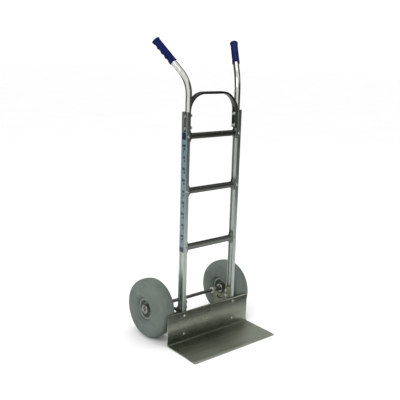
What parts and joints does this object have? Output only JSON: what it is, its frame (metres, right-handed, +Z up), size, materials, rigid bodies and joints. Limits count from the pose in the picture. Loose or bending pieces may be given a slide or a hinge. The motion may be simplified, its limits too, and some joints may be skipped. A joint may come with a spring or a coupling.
{
  "type": "hand truck",
  "caption": "Upright two-wheel hand truck: aluminium ladder frame, bent nose plate, loop brace, splayed handles with finger grips, solid grey tyres.",
  "frame": {"origin": "on the floor, under the middle of the truck's box", "axes": "+X to the right seen from the front, -Y forward over the nose ledge, +Z up"},
  "size_m": [0.5308, 0.458, 1.2799],
  "materials": {
    "rail": "satin, faint lengthwise extrusion lines",
    "crossbar": "satin, darker",
    "brace": "satin bar",
    "tube": "polished tube",
    "grip": "matte moulded vinyl",
    "nose": "mill finish, half polished, fine lengthwise grain",
    "casting": "as cast, slightly olive",
    "steel": "turned, zinc plated",
    "fastener": "zinc plated",
    "tyre": "matte grey foam skin",
    "rim": "grey paint",
    "label": "printed film, dark blue blocks on pale steel blue",
    "bearing": "dark seal and race"
  },
  "bodies": {
    "frame": {"rail_left": "rail", "rail_right": "rail", "crossbar_top": "crossbar", "crossbar_middle": "crossbar", "crossbar_bottom": "crossbar", "loop_brace": "brace", "handle_tube_left": "tube", "handle_tube_right": "tube", "grip_left": "grip", "grip_right": "grip", "nose_plate": "nose", "axle_bracket_left": "casting", "axle_bracket_right": "casting", "axle": "steel", "axle_spacer_left": "steel", "axle_washer_left": "fastener", "cotter_pin_left": "fastener", "axle_spacer_right": "steel", "axle_washer_right": "fastener", "cotter_pin_right": "fastener", "crossbar_bolt_top_left": "fastener", "crossbar_bolt_top_right": "fastener", "crossbar_bolt_middle_left": "fastener", "crossbar_bolt_middle_right": "fastener", "crossbar_bolt_bottom_left": "fastener", "crossbar_bolt_bottom_right": "fastener", "handle_bolt_upper_left": "fastener", "handle_nut_upper_left": "fastener", "handle_bolt_upper_right": "fastener", "handle_nut_upper_right": "fastener", "handle_bolt_lower_left": "fastener", "handle_nut_lower_left": "fastener", "handle_bolt_lower_right": "fastener", "handle_nut_lower_right": "fastener", "bracket_bolt_upper_left": "fastener", "bracket_nut_upper_left": "fastener", "bracket_bolt_upper_right": "fastener", "bracket_nut_upper_right": "fastener", "bracket_bolt_lower_left": "fastener", "bracket_nut_lower_left": "fastener", "bracket_bolt_lower_right": "fastener", "bracket_nut_lower_right": "fastener", "rail_label_left": "label", "nose_bolt_upper_left": "fastener", "nose_bolt_upper_right": "fastener", "nose_bolt_lower_left": "fastener", "nose_bolt_lower_right": "fastener"},
    "wheel_left": {"tyre_left": "tyre", "rim_outer_left": "rim", "rim_inner_left": "rim", "hub_left": "steel", "bearing_outer_left": "bearing", "bearing_inner_left": "bearing"},
    "wheel_right": {"tyre_right": "tyre", "rim_outer_right": "rim", "rim_inner_right": "rim", "hub_right": "steel", "bearing_outer_right": "bearing", "bearing_inner_right": "bearing"}
  },
  "joints": [
    {"name": "wheel_left_spin", "type": "hinge", "parent": "frame", "child": "wheel_left", "pos_m": [-0.2165, 0.099, 0.13], "axis": [1, 0, 0], "continuous": true},
    {"name": "wheel_right_spin", "type": "hinge", "parent": "frame", "child": "wheel_right", "pos_m": [0.2165, 0.099, 0.13], "axis": [1, 0, 0], "continuous": true}
  ]
}
